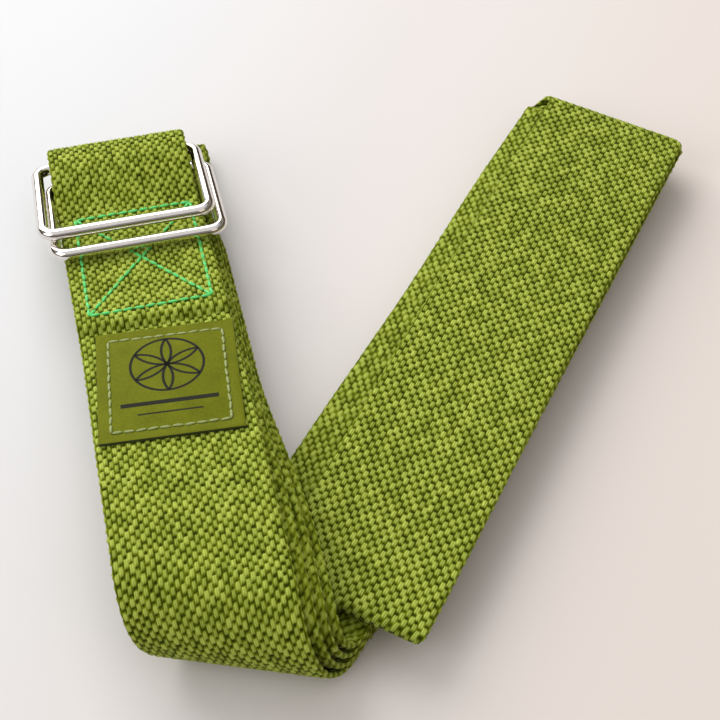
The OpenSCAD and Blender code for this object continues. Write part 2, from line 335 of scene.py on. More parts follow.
def woven(name, run, w, looks, shape, seed, coarse=1):
    """A closed woven mesh round a run of stations: both faces carry the weave, the edges are rounded."""
    half, t = shape
    q, n, along = run.finished()
    o = run.o[0] - run.o[0].mean()
    rng = np.random.default_rng(seed)
    v = along[:, None]
    side = np.gradient(q, axis=1)
    side /= np.linalg.norm(side, axis=2)[..., None]
    rim = half - np.abs(o)
    thin = t / 2 * (1 - 0.28 * np.exp(-rim / 0.8))[None, :]
    rows = []
    for sign, every in ((1, 1), (-1, coarse)):
        h, cell = grain(o[None, :] + 0 * v, v + (0 if sign > 0 else w.grain_length / 2), half, w, rng)
        pts = q + sign * n * (thin - w.relief * (1 - h))[..., None]
        keep = sorted(set(range(0, len(o), every)) | {len(o) - 1})
        rows.append((pts[:, keep], h[:, keep], cell[:, keep], np.broadcast_to(o[keep], h[:, keep].shape)))
    bead = 0.42 + 0.13 * np.cos(2 * math.pi * v / w.grain_length) + 0.05 * rng.standard_normal(v.shape)
    edges = []
    for last in (-1, 0):
        out = side[:, last] * (1 if last else -1)
        ring = []
        for angle in (50, 0, -50):
            c, k = math.cos(math.radians(angle)), math.sin(math.radians(angle))
            ring.append(q[:, last] + out * (bead * c) + n[:, last] * ((thin[0, last] - 0.18) * k))
        ring = np.stack(ring, 1)
        edges.append(ring if last else ring[:, ::-1])
    # The edge beads get grain values that rise and fall with their bulge: painted light and shade along each
    # edge.
    edge_painted_shade = np.full(edges[0].shape[:2], 0.55) + 0.25 * np.cos(2 * math.pi * v / w.grain_length)
    edge_o = np.full(edges[0].shape[:2], half)
    loops = np.concatenate([rows[0][0], edges[0], rows[1][0][:, ::-1], edges[1]], 1)
    height = np.concatenate([rows[0][1], edge_painted_shade, rows[1][1][:, ::-1], edge_painted_shade], 1)
    cells = np.concatenate([rows[0][2], 0 * edge_painted_shade + 0.5, rows[1][2][:, ::-1], 0 * edge_painted_shade + 0.5], 1)
    flat = np.concatenate([rows[0][3], edge_o, rows[1][3][:, ::-1], -edge_o], 1)
    ns, nr = loops.shape[:2]
    i = np.arange(ns - 1)[:, None] * nr
    j = np.arange(nr)[None, :]
    k = (j + 1) % nr
    quads = np.stack([i + j, i + nr + j, i + nr + k, i + k], -1).reshape(-1, 4)
    verts = (loops * MM).reshape(-1, 3)
    faces = quads.tolist() + [list(range(nr)), list(range(ns * nr - 1, ns * nr - nr - 1, -1))]
    mesh = bpy.data.meshes.new(name)
    mesh.from_pydata(verts.tolist(), [], faces)
    mesh.polygons.foreach_set("use_smooth", [True] * (len(faces) - 2) + [False] * 2)
    # The grain attribute holds the weave's height; the material turns it into painted shade in the hollows.
    for attribute, values in (("grain", height), ("yarn", cells)):
        layer = mesh.attributes.new(attribute, "FLOAT", "POINT")
        layer.data.foreach_set("value", values.reshape(-1).astype(np.float32))
    corner = np.empty(len(mesh.loops), np.int32)
    mesh.loops.foreach_get("vertex_index", corner)
    lengthwise = np.broadcast_to(v * MM * 10, flat.shape).reshape(-1)
    uv = np.stack([flat.reshape(-1) / (half - RIM) * UV_EDGE, lengthwise], -1)
    mesh.uv_layers.new(name="webbing").data.foreach_set("uv", uv[corner].reshape(-1).astype(np.float32))
    mesh.validate()
    made = bpy.data.objects.new(name, mesh)
    bpy.context.collection.objects.link(made)
    if signed_volume(mesh) < 0:
        mesh.flip_normals()
    mesh.materials.append(webbing_finish(looks))
    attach(made, "webbing")
    return made, along[-1]


def signed_volume(mesh):
    """Volume inside a closed mesh, negative where its faces point inwards."""
    mesh.calc_loop_triangles()
    co = np.empty(len(mesh.vertices) * 3)
    mesh.vertices.foreach_get("co", co)
    tri = np.empty(len(mesh.loop_triangles) * 3, np.int32)
    mesh.loop_triangles.foreach_get("vertices", tri)
    a, b, c = np.moveaxis(co.reshape(-1, 3)[tri.reshape(-1, 3)], 1, 0)
    return float(np.einsum("ij,ij->i", a, np.cross(b, c)).sum() / 6)


def finish(name):
    """A new material, its node tree and its shader, or None for those of one that exists."""
    m = bpy.data.materials.get(name)
    if m:
        return m, None, None
    m = bpy.data.materials.new(name)
    m.use_nodes = True
    return m, m.node_tree, m.node_tree.nodes["Principled BSDF"]


def node(tree, kind, **values):
    """A shader node with its properties and the values of its named inputs."""
    made = tree.nodes.new(kind)
    for key, value in values.items():
        if hasattr(made, key):
            setattr(made, key, value)
        else:
            made.inputs[key].default_value = value
    return made


def ramp(tree, fac, stops):
    """A colour ramp over fac with stops of (place, colour)."""
    made = tree.nodes.new("ShaderNodeValToRGB")
    band = made.color_ramp
    while len(band.elements) < len(stops):
        band.elements.new(0.5)
    for element, (place, value) in zip(band.elements, stops):
        element.position = place
        element.color = (*value[:3], 1)
    tree.links.new(fac, made.inputs["Fac"])
    return made.outputs["Color"]


def mixed(tree, kind, fac, a, b):
    """Two colours blended, each a socket or a plain colour."""
    made = tree.nodes.new("ShaderNodeMix")
    made.data_type = "RGBA"
    made.blend_type = kind
    for socket, value in ((made.inputs[0], fac), (made.inputs[6], a), (made.inputs[7], b)):
        if isinstance(value, bpy.types.NodeSocket):
            tree.links.new(value, socket)
        else:
            socket.default_value = value
    return made.outputs[2]


def webbing_finish(looks):
    """Heavy cotton webbing: bright yarn tops over hollows darkened with painted shade, a painted shade line
    down each column's groove, and dye that varies along the yarns.
    """
    m, tree, shader = finish("webbing cotton")
    if tree is None:
        return m
    link = tree.links.new
    height = node(tree, "ShaderNodeAttribute", attribute_name="grain")
    yarn = node(tree, "ShaderNodeAttribute", attribute_name="yarn")
    uv = node(tree, "ShaderNodeUVMap", uv_map="webbing")
    # Painted shade: the colour darkens from the yarn tops down into the hollows.
    base = ramp(tree, height.outputs["Fac"], [
        (0.0, looks.hollow_painted_shade), (0.45, (0.20, 0.245, 0.006)), (0.80, [0.80 * c for c in looks.yarn[:3]]),
        (1.0, looks.yarn)])
    tint = ramp(tree, yarn.outputs["Fac"], [(0.0, (0.82, 0.84, 0.78)), (1.0, (1.0, 1.0, 1.0))])
    base = mixed(tree, "MULTIPLY", 1.0, base, tint)
    wide = node(tree, "ShaderNodeTexNoise", Scale=14.0, Detail=3.0)
    link(uv.outputs[0], wide.inputs["Vector"])
    dye = ramp(tree, wide.outputs["Fac"], [(0.30, (0.86, 0.88, 0.84)), (0.70, (1.0, 1.0, 1.0))])
    base = mixed(tree, "MULTIPLY", 1.0, base, dye)
    stretch = node(tree, "ShaderNodeMapping")
    stretch.inputs["Scale"].default_value = (900.0, 120.0, 1.0)
    link(uv.outputs[0], stretch.inputs["Vector"])
    fibre = node(tree, "ShaderNodeTexNoise", Scale=1.0, Detail=2.0)
    link(stretch.outputs[0], fibre.inputs["Vector"])
    fluff = ramp(tree, fibre.outputs["Fac"], [(0.25, (0.84, 0.84, 0.80)), (0.75, (1.0, 1.0, 1.0))])
    base = mixed(tree, "MULTIPLY", 1.0, base, fluff)
    # Painted shade: a dark line down the groove in the middle of each yarn column.
    place = node(tree, "ShaderNodeSeparateXYZ")
    link(uv.outputs[0], place.inputs[0])
    turn = node(tree, "ShaderNodeMath", operation="MULTIPLY")
    turn.inputs[1].default_value = math.pi * settings()[0].columns / UV_EDGE
    strand = node(tree, "ShaderNodeMath", operation="COSINE")
    link(place.outputs["X"], turn.inputs[0])
    link(turn.outputs[0], strand.inputs[0])
    groove_painted_shade = ramp(tree, strand.outputs[0], [(0.70, (1.0, 1.0, 1.0)), (0.95, (0.66, 0.68, 0.52))])
    base = mixed(tree, "MULTIPLY", 1.0, base, groove_painted_shade)
    link(base, shader.inputs["Base Color"])
    bump = node(tree, "ShaderNodeBump", Strength=0.35, Distance=0.00012)
    link(fibre.outputs["Fac"], bump.inputs["Height"])
    link(bump.outputs[0], shader.inputs["Normal"])
    shader.inputs["Roughness"].default_value = 0.82
    shader.inputs["Specular IOR Level"].default_value = 0.06
    shader.inputs["Sheen Weight"].default_value = 0.04
    shader.inputs["Sheen Roughness"].default_value = 0.5
    return m


def thread_finish(name, value):
    """Twisted thread with fine diagonal plies and a soft gloss."""
    m, tree, shader = finish(name)
    if tree is None:
        return m
    link = tree.links.new
    place = node(tree, "ShaderNodeTexCoord")
    plies = node(tree, "ShaderNodeTexWave", Scale=900.0, Distortion=1.2)
    plies.bands_direction = "DIAGONAL"
    link(place.outputs["Object"], plies.inputs["Vector"])
    link(ramp(tree, plies.outputs["Fac"], [(0.0, [0.62 * c for c in value[:3]]), (0.6, value)]),
         shader.inputs["Base Color"])
    bump = node(tree, "ShaderNodeBump", Strength=0.5, Distance=0.0001)
    link(plies.outputs["Fac"], bump.inputs["Height"])
    link(bump.outputs[0], shader.inputs["Normal"])
    shader.inputs["Roughness"].default_value = 0.42
    shader.inputs["Sheen Weight"].default_value = 0.2
    return m


def leather_finish(looks):
    """Coated label leather: fine pebbled grain, slightly uneven colour and a satin sheen."""
    m, tree, shader = finish("label leather")
    if tree is None:
        return m
    link = tree.links.new
    place = node(tree, "ShaderNodeTexCoord")
    cells = node(tree, "ShaderNodeTexVoronoi", Scale=1500.0)
    cloud = node(tree, "ShaderNodeTexNoise", Scale=160.0, Detail=4.0)
    for texture in (cells, cloud):
        link(place.outputs["Object"], texture.inputs["Vector"])
    face = ramp(tree, cloud.outputs["Fac"], [(0.3, [0.82 * c for c in looks.label[:3]]), (0.7, looks.label)])
    pores = ramp(tree, cells.outputs["Distance"], [(0.0, (1.0, 1.0, 1.0)), (0.75, (0.78, 0.78, 0.74))])
    link(mixed(tree, "MULTIPLY", 0.7, face, pores), shader.inputs["Base Color"])
    bump = node(tree, "ShaderNodeBump", Strength=0.4, Distance=0.0001)
    bump.invert = True
    link(cells.outputs["Distance"], bump.inputs["Height"])
    link(bump.outputs[0], shader.inputs["Normal"])
    shader.inputs["Roughness"].default_value = 0.55
    shader.inputs["Specular IOR Level"].default_value = 0.03
    return m


def plain_finish(name, value, rough):
    """A matt finish with a little mottling, for cut edges and print."""
    m, tree, shader = finish(name)
    if tree is None:
        return m
    link = tree.links.new
    place = node(tree, "ShaderNodeTexCoord")
    mottle = node(tree, "ShaderNodeTexNoise", Scale=900.0, Detail=3.0)
    link(place.outputs["Object"], mottle.inputs["Vector"])
    link(ramp(tree, mottle.outputs["Fac"], [(0.25, [0.7 * c for c in value[:3]]), (0.8, value)]),
         shader.inputs["Base Color"])
    shader.inputs["Roughness"].default_value = rough
    return m


def metal_finish(looks):
    """Polished nickel with faint handling marks."""
    m, tree, shader = finish("polished nickel")
    if tree is None:
        return m
    link = tree.links.new
    place = node(tree, "ShaderNodeTexCoord")
    wear = node(tree, "ShaderNodeTexNoise", Scale=420.0, Detail=5.0)
    link(place.outputs["Object"], wear.inputs["Vector"])
    link(ramp(tree, wear.outputs["Fac"], [(0.35, looks.metal), (0.75, [0.93 * c for c in looks.metal[:3]])]),
         shader.inputs["Base Color"])
    rough = node(tree, "ShaderNodeMapRange")
    rough.inputs["To Min"].default_value = 0.06
    rough.inputs["To Max"].default_value = 0.17
    link(wear.outputs["Fac"], rough.inputs["Value"])
    link(rough.outputs[0], shader.inputs["Roughness"])
    shader.inputs["Metallic"].default_value = 1.0
    return m


def clear():
    """Leaves edit mode and deselects everything."""
    if bpy.context.object and bpy.context.object.mode != "OBJECT":
        bpy.ops.object.mode_set(mode="OBJECT")
    bpy.ops.object.select_all(action="DESELECT")


def added(name):
    """The primitive just added, under its own name."""
    made = bpy.context.object
    made.name = made.data.name = name
    return made


def seated(obj, matrix):
    """Moves a piece's mesh to its place and leaves its object at the origin."""
    obj.data.transform(matrix @ obj.matrix_basis)
    obj.matrix_basis = Matrix.Identity(4)
    obj.data.update()
    return obj


def joined(name, objs):
    """Several pieces as one object."""
    clear()
    for o in objs:
        o.select_set(True)
    bpy.context.view_layer.objects.active = objs[0]
    bpy.ops.object.join()
    return added(name)


def on_strap(lay, s, rise, turn=0.0):
    """Frame on the sloping top of the left arm, in metres."""
    place = Matrix.Translation(Vector((lay.left_x[0], 0, 0)) * MM) @ Matrix.Rotation(lay.a, 4, "Z")
    place = place @ Matrix.Translation(Vector((lay.drift(0, s), s, float(lay.sink(s)) + rise)) * MM)
    return place @ Matrix.Rotation(-math.atan(lay.slope), 4, "X") @ Matrix.Rotation(turn, 4, "Z")


def settings():
    """The values that a user can change: webbing, trim and looks."""
    scene = bpy.context.scene
    return scene.strap_webbing, scene.strap_trim, scene.strap_looks


def across(half, w, fine):
    """Offsets across the webbing, fine of them to each yarn column."""
    return np.linspace(RIM - half, half - RIM, w.columns * fine + 1)


class STRAP_OT_stage(bpy.types.Operator):
    """Floor, camera and soft studio light"""

    bl_idname = "strap.stage"
    bl_label = "Stage"

    def execute(self, context):
        looks = settings()[2]
        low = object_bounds()[0][2]
        clear()
        bpy.ops.mesh.primitive_plane_add(size=6, location=(0, 0.4, low))
        floor = seated(added("floor"), Matrix.Identity(4))
        # Painted warm shade: the floor's colour darkens and warms towards the right and the near side, as the
        # lamps' falloff and the strap's shadows would.
        m, tree, shader = finish("floor paper")
        place = node(tree, "ShaderNodeTexCoord")
        towards = node(tree, "ShaderNodeVectorMath", operation="DOT_PRODUCT")
        tree.links.new(place.outputs["Object"], towards.inputs[0])
        towards.inputs[1].default_value = (5.2, -0.9, 0.0)
        spread = node(tree, "ShaderNodeMapRange")
        spread.inputs["From Min"].default_value = -0.62
        spread.inputs["From Max"].default_value = 0.38
        tree.links.new(towards.outputs["Value"], spread.inputs["Value"])
        middle = [0.5 * (a + b) - 0.012 for a, b in zip(looks.floor[:3], looks.floor_painted_warm_shade[:3])]
        stops = [(0.0, looks.floor), (0.45, middle), (1.0, looks.floor_painted_warm_shade)]
        tree.links.new(ramp(tree, spread.outputs[0], stops), shader.inputs["Base Color"])
        shader.inputs["Roughness"].default_value = 0.9
        shader.inputs["Specular IOR Level"].default_value = 0.1
        floor.data.materials.append(m)
        floor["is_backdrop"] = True
        self.lamp("window", (-0.45, 0.62, 0.50), (0.0, 0.09, 0.0), 0.85, 8.3, (1.0, 0.99, 0.97))
        self.lamp("left fill", (-0.55, -0.35, 0.50), (-0.03, 0.05, 0.0), 0.6, 2.6, (0.95, 0.97, 1.0))
        self.lamp("warm fill", (0.8, -0.5, 0.7), (0.0, 0.08, 0.0), 0.7, 1.0, (1.0, 0.86, 0.72))
        world = bpy.data.worlds.new("studio")
        world.use_nodes = True
        sky = world.node_tree.nodes["Background"]
        sky.inputs["Strength"].default_value = 0.98
        around = node(world.node_tree, "ShaderNodeTexCoord")
        parts = node(world.node_tree, "ShaderNodeSeparateXYZ")
        world.node_tree.links.new(around.outputs["Generated"], parts.inputs[0])
        room = ramp(world.node_tree, parts.outputs["Z"], [
            (0.0, (0.05, 0.045, 0.04)), (0.30, (0.10, 0.075, 0.05)), (0.48, (0.40, 0.38, 0.35)),
            (0.62, (0.10, 0.09, 0.08)), (0.80, (0.75, 0.75, 0.76)), (1.0, (0.85, 0.85, 0.86))])
        world.node_tree.links.new(room, sky.inputs["Color"])
        context.scene.world = world
        data = bpy.data.cameras.new("camera")
        data.lens = 75
        data.sensor_width = 36
        data.clip_start = 0.01
        camera = bpy.data.objects.new("camera", data)
        bpy.context.collection.objects.link(camera)
        aim = Vector(CAMERA_AIM) * MM
        camera.location = Vector(CAMERA_AT) * MM
        camera.rotation_euler = (aim - camera.location).to_track_quat("-Z", "Y").to_euler()
        context.scene.camera = camera
        context.scene.view_settings.view_transform = "Standard"
        return {"FINISHED"}

    def lamp(self, name, place, aim, width, power, tint):
        """A square area lamp at place, turned to aim."""
        data = bpy.data.lights.new(name, "AREA")
        data.size = width
        data.energy = power
        data.color = tint
        lamp = bpy.data.objects.new(name, data)
        lamp.location = place
        lamp.rotation_euler = (Vector(aim) - Vector(place)).to_track_quat("-Z", "Y").to_euler()
        bpy.context.collection.objects.link(lamp)


class STRAP_OT_webbing(bpy.types.Operator):
    """The whole folded webbing, in stretches that follow one another"""

    bl_idname = "strap.webbing"
    bl_label = "Webbing"

    def execute(self, context):
        w, trim, looks = settings()
        lay = Layout(w, trim)
        step, rough = w.grain_length / 7.2, w.grain_length / 4.4
        t, p = lay.t, lay.p

        half = lay.half
        run = Run(across(half, w, 3) + FRONT_SLIP)
        s = grid(lay.turned(0, lay.near), lay.s_end, step * 1.12)[:, None]
        run.add(*lay.left(0, s, run.o, lay.top_layer))
        r = lay.loop_high / 2
        base = float(lay.sink(lay.s_end)) + 3 * p
        a = grid(math.pi, 0, step / r)[:, None]
        at_loop = run.o * lay.squeeze(lay.s_end) + lay.drift(0, lay.s_end)
        loop = self.on_left(lay, 0, at_loop, lay.s_end - LOOP_BACK + r * np.sin(a), base + r - r * np.cos(a),
                            np.sin(a), -np.cos(a))
        run.add(*loop)
        s = np.append(grid(lay.s_end, lay.ply_end, step * 2), lay.ply_end)[:, None]
        run.add(*self.on_left(lay, 0, run.o * lay.squeeze(s) + lay.drift(0, s), s, lay.sink(s) + 3 * p,
                              0 * s - lay.slope * PLY_TILT, 0 * s - 1))
        made, end = woven("webbing_front", run, w, looks, (half, t), coarse=3, seed=3)
        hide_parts("webbing_loop", "webbing_left_1", "webbing_turn_1")
        self.declare(made, 2 * half, end)

        run = Run(across(half, w, 2))
        s = grid(lay.near, lay.fold_low, rough)[:, None]
        run.add(*lay.arm(0, lay.a, s, run.o + lay.lean(s), t / 2, 0, -1))
        self.fold(run, lay, lay.fold_low, t / 2, p / 2)
        s = np.append(grid(lay.fold_low, lay.near, rough), lay.near)[:, None]
        run.add(*lay.arm(0, lay.a, s, run.o + lay.lean(s), t / 2 + p, 0, 1))
        made, end = woven("webbing_right_low", run, w, looks, (half, t), seed=5)
        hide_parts("webbing_right_1", "webbing_fold_lower", "webbing_right_2")
        self.declare(made, 2 * half, end)

        run = Run(across(half, w, 2))
        s = grid(lay.turned(1, lay.near), lay.left_fold, rough)[:, None]
        run.add(*lay.left(1, s, run.o, lambda v: 2 * p + 0 * v))
        a = grid(0, math.pi, LOOSE)[:, None]
        d = lay.left_x[1] - lay.left_x[2]
        u = 1 - a / math.pi
        slip = u * lay.drift(1, lay.left_fold) + (1 - u) * lay.drift(2, lay.left_fold)
        run.add(*self.on_left(lay, 2, run.o + u * d * math.cos(lay.a) + slip,
                              lay.left_fold - u * d * math.sin(lay.a) + p / 2 * np.sin(a),
                              float(lay.sink(lay.left_fold)) + 1.5 * p + p / 2 * np.cos(a),
                              np.sin(a), np.cos(a)))
        last = lay.turned(2, lay.near)
        s = np.append(grid(lay.left_fold, last, rough), last)[:, None]
        q, n = lay.left(2, s, run.o, lambda v: p + 0 * v)
        run.add(q, -n)
        made, end = woven("webbing_middle", run, w, looks, (half, t), seed=7)
        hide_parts("webbing_turn_2", "webbing_left_2", "webbing_fold_left",
                    "webbing_left_3", "webbing_turn_3")
        self.declare(made, 2 * half, end)

        run = Run(across(half, w, 2))
        s = np.append(grid(lay.near, lay.right, rough), lay.right)[:, None]
        run.add(*lay.arm(0, lay.a, s, run.o + lay.lean(s), t / 2 + 2 * p, 0, -1))
        made, end = woven("webbing_right_third", run, w, looks, (half, t), seed=9)
        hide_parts("webbing_right_3")
        self.declare(made, 2 * half, end)

        half = lay.half + TOP_EXTRA
        run = Run(across(half, w, 4))
        a = grid(0, math.pi, step / (1.5 * p))[:, None]
        self.far_fold(run, lay, a, t / 2 + 2 * p, 1.5 * p, 1, lay.aside(lay.upper_end))
        s = grid(lay.upper_end, lay.tuck, step)[:, None]
        run.add(*lay.arm(lay.shift, lay.upper_a, s, run.o + lay.aside(s), t / 2 + 5 * p, 0, 1))
        a = np.append(grid(0, math.pi, TIGHT), math.pi)[:, None]
        run.add(*lay.arm(lay.shift, lay.upper_a, lay.tuck - p / 2 * np.sin(a),
                         run.o + lay.aside(0) * (1 - a / math.pi),
                         t / 2 + 4.5 * p + p / 2 * np.cos(a), -np.sin(a), np.cos(a)))
        made, end = woven("webbing_top", run, w, looks, (half, t), coarse=4, seed=11)
        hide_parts("webbing_fold_outer", "webbing_right_6", "webbing_fold_tucked")
        self.declare(made, 2 * half, end)

        half = lay.half
        run = Run(across(half, w, 3))
        s = grid(lay.tuck, lay.upper_end, rough)[:, None]
        run.add(*lay.arm(lay.shift, lay.upper_a, s, run.o + lay.slip(s), t / 2 + 4 * p, 0, -1))
        a = grid(math.pi, 0, LOOSE)[:, None]
        self.far_fold(run, lay, a, t / 2 + 3 * p, p / 2, -1, INNER_FOLD_SLIP)
        s = np.append(grid(lay.right, lay.near, rough), lay.near)[:, None]
        run.add(*lay.arm(0, lay.a, s, run.o + lay.lean(s), t / 2 + 3 * p, 0, 1))
        made, end = woven("webbing_inner", run, w, looks, (half, t), coarse=3, seed=13)
        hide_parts("webbing_right_5", "webbing_fold_inner", "webbing_right_4")
        self.declare(made, 2 * half, end)

        run = Run(across(half, w, 2))
        s = np.append(grid(lay.turned(3, lay.near), lay.free_end, rough), lay.free_end)[:, None]
        run.add(*lay.left(3, s, run.o, lambda v: 0 * v))
        made, end = woven("webbing_end", run, w, looks, (half, t), seed=15)
        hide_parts("webbing_turn_4", "webbing_left_4")
        self.declare(made, 2 * half, end)
        return {"FINISHED"}

    def on_left(self, lay, i, o, s, z, n_s, n_z):
        """Points in the frame of left layer i, with normals given along the arm and up."""
        q, n = lay.arm(lay.left_x[i], -lay.a, s, o, z, n_s, n_z)
        return q, n / np.linalg.norm(n, axis=2)[..., None]

    def fold(self, run, lay, s, z, r):
        """One of the lower right layers turned back on the next at s, with radius r."""
        a = grid(0, math.pi, TIGHT)[:, None]
        run.add(*lay.arm(0, lay.a, s + r * np.sin(a), run.o + lay.lean(s), z + r - r * np.cos(a),
                         np.sin(a), -np.cos(a)))

    def far_fold(self, run, lay, a, z, r, out, slip):
        """A fold whose frame turns and shifts from the lower right layers to the top pair."""
        u = a / math.pi
        h = lay.a - u * lay.upper_turn
        low = np.array([lay.right * math.sin(lay.a), lay.right * math.cos(lay.a)])
        end = lay.upper_end
        high = np.array([lay.shift + end * math.sin(lay.upper_a), end * math.cos(lay.upper_a)])
        c, k = np.cos(h), np.sin(h)
        o = run.o + (1 - u) * lay.lean(lay.right) + u * slip
        x = low[0] * (1 - u) + high[0] * u + r * np.sin(a) * k + o * c
        y = low[1] * (1 - u) + high[1] * u + r * np.sin(a) * c - o * k
        n = np.stack([out * np.sin(a) * k + 0 * x, out * np.sin(a) * c + 0 * x, -out * np.cos(a) + 0 * x], -1)
        run.add(np.stack([x, y, z + r - r * np.cos(a) + 0 * x], -1), n)

    def declare(self, made, width, length):
        """Takes a stretch and its flat size in millimetres, and does nothing with them."""


class STRAP_OT_rings(bpy.types.Operator):
    """Two rectangular wire rings, their far bars in the sewn loop"""

    bl_idname = "strap.rings"
    bl_label = "Rings"

    def execute(self, context):
        w, trim, looks = settings()
        lay = Layout(w, trim)
        for name, joint, nodes in (("ring_of_wire_upper", "upper_ring_swing", "ring_upper"),
                                   ("ring_of_wire_lower", "lower_ring_swing", "ring_lower")):
            ring = self.bent(name, trim.wire / 2, (w.width + 2 * trim.ring_play + trim.wire) / 2,
                             trim.ring_length + trim.wire, trim.ring_corner)
            low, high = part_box(nodes)
            rise = (high[2] - low[2]) / MM - trim.wire
            tilt = math.asin(rise / (trim.ring_length + trim.wire))
            place = Matrix.Translation(Vector(HINGES[joint]["pos_m"])) @ Matrix.Rotation(lay.a, 4, "Z")
            place = place @ Matrix.Translation((float(lay.drift(0, lay.bar_s)) * MM, 0, 0))
            seated(ring, place @ Matrix.Rotation(-tilt, 4, "X"))
            ring.data.materials.append(metal_finish(looks))
            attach(ring, "upper_ring" if "upper" in name else "lower_ring")
            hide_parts(nodes)
        return {"FINISHED"}

    def bent(self, name, r, w, l, c):
        """A wire extruded along each bar and spun round each corner, closed at its weld."""
        clear()
        bpy.ops.mesh.primitive_circle_add(vertices=28, radius=r * MM, location=(0, 0, 0),
                                          rotation=(0, math.pi / 2, 0))
        ring = added(name)
        bpy.ops.object.transform_apply(location=True, rotation=True, scale=True)
        bpy.ops.object.mode_set(mode="EDIT")
        bpy.ops.mesh.select_all(action="SELECT")
        self.straight((w - c, 0, 0))
        self.corner((w - c, -c, 0))
        self.straight((0, -(l - 2 * c), 0))
        self.corner((w - c, c - l, 0))
        self.straight((-2 * (w - c), 0, 0))
        self.corner((c - w, c - l, 0))
        self.straight((0, l - 2 * c, 0))
        self.corner((c - w, -c, 0))
        self.straight((w - c, 0, 0))
        bpy.ops.mesh.select_all(action="SELECT")
        bpy.ops.mesh.remove_doubles(threshold=0.00002)
        bpy.ops.mesh.normals_make_consistent(inside=False)
        bpy.ops.object.mode_set(mode="OBJECT")
        bpy.ops.object.shade_smooth()
        return ring

    def straight(self, move):
        """Extrudes the wire's open end by move, in millimetres."""
        bpy.ops.mesh.extrude_region_move(TRANSFORM_OT_translate={"value": tuple(v * MM for v in move)})

    def corner(self, centre):
        """Spins the wire's open end a quarter turn about centre, in millimetres."""
        bpy.ops.mesh.spin(steps=12, angle=math.pi / 2, center=tuple(v * MM for v in centre), axis=(0, 0, 1))


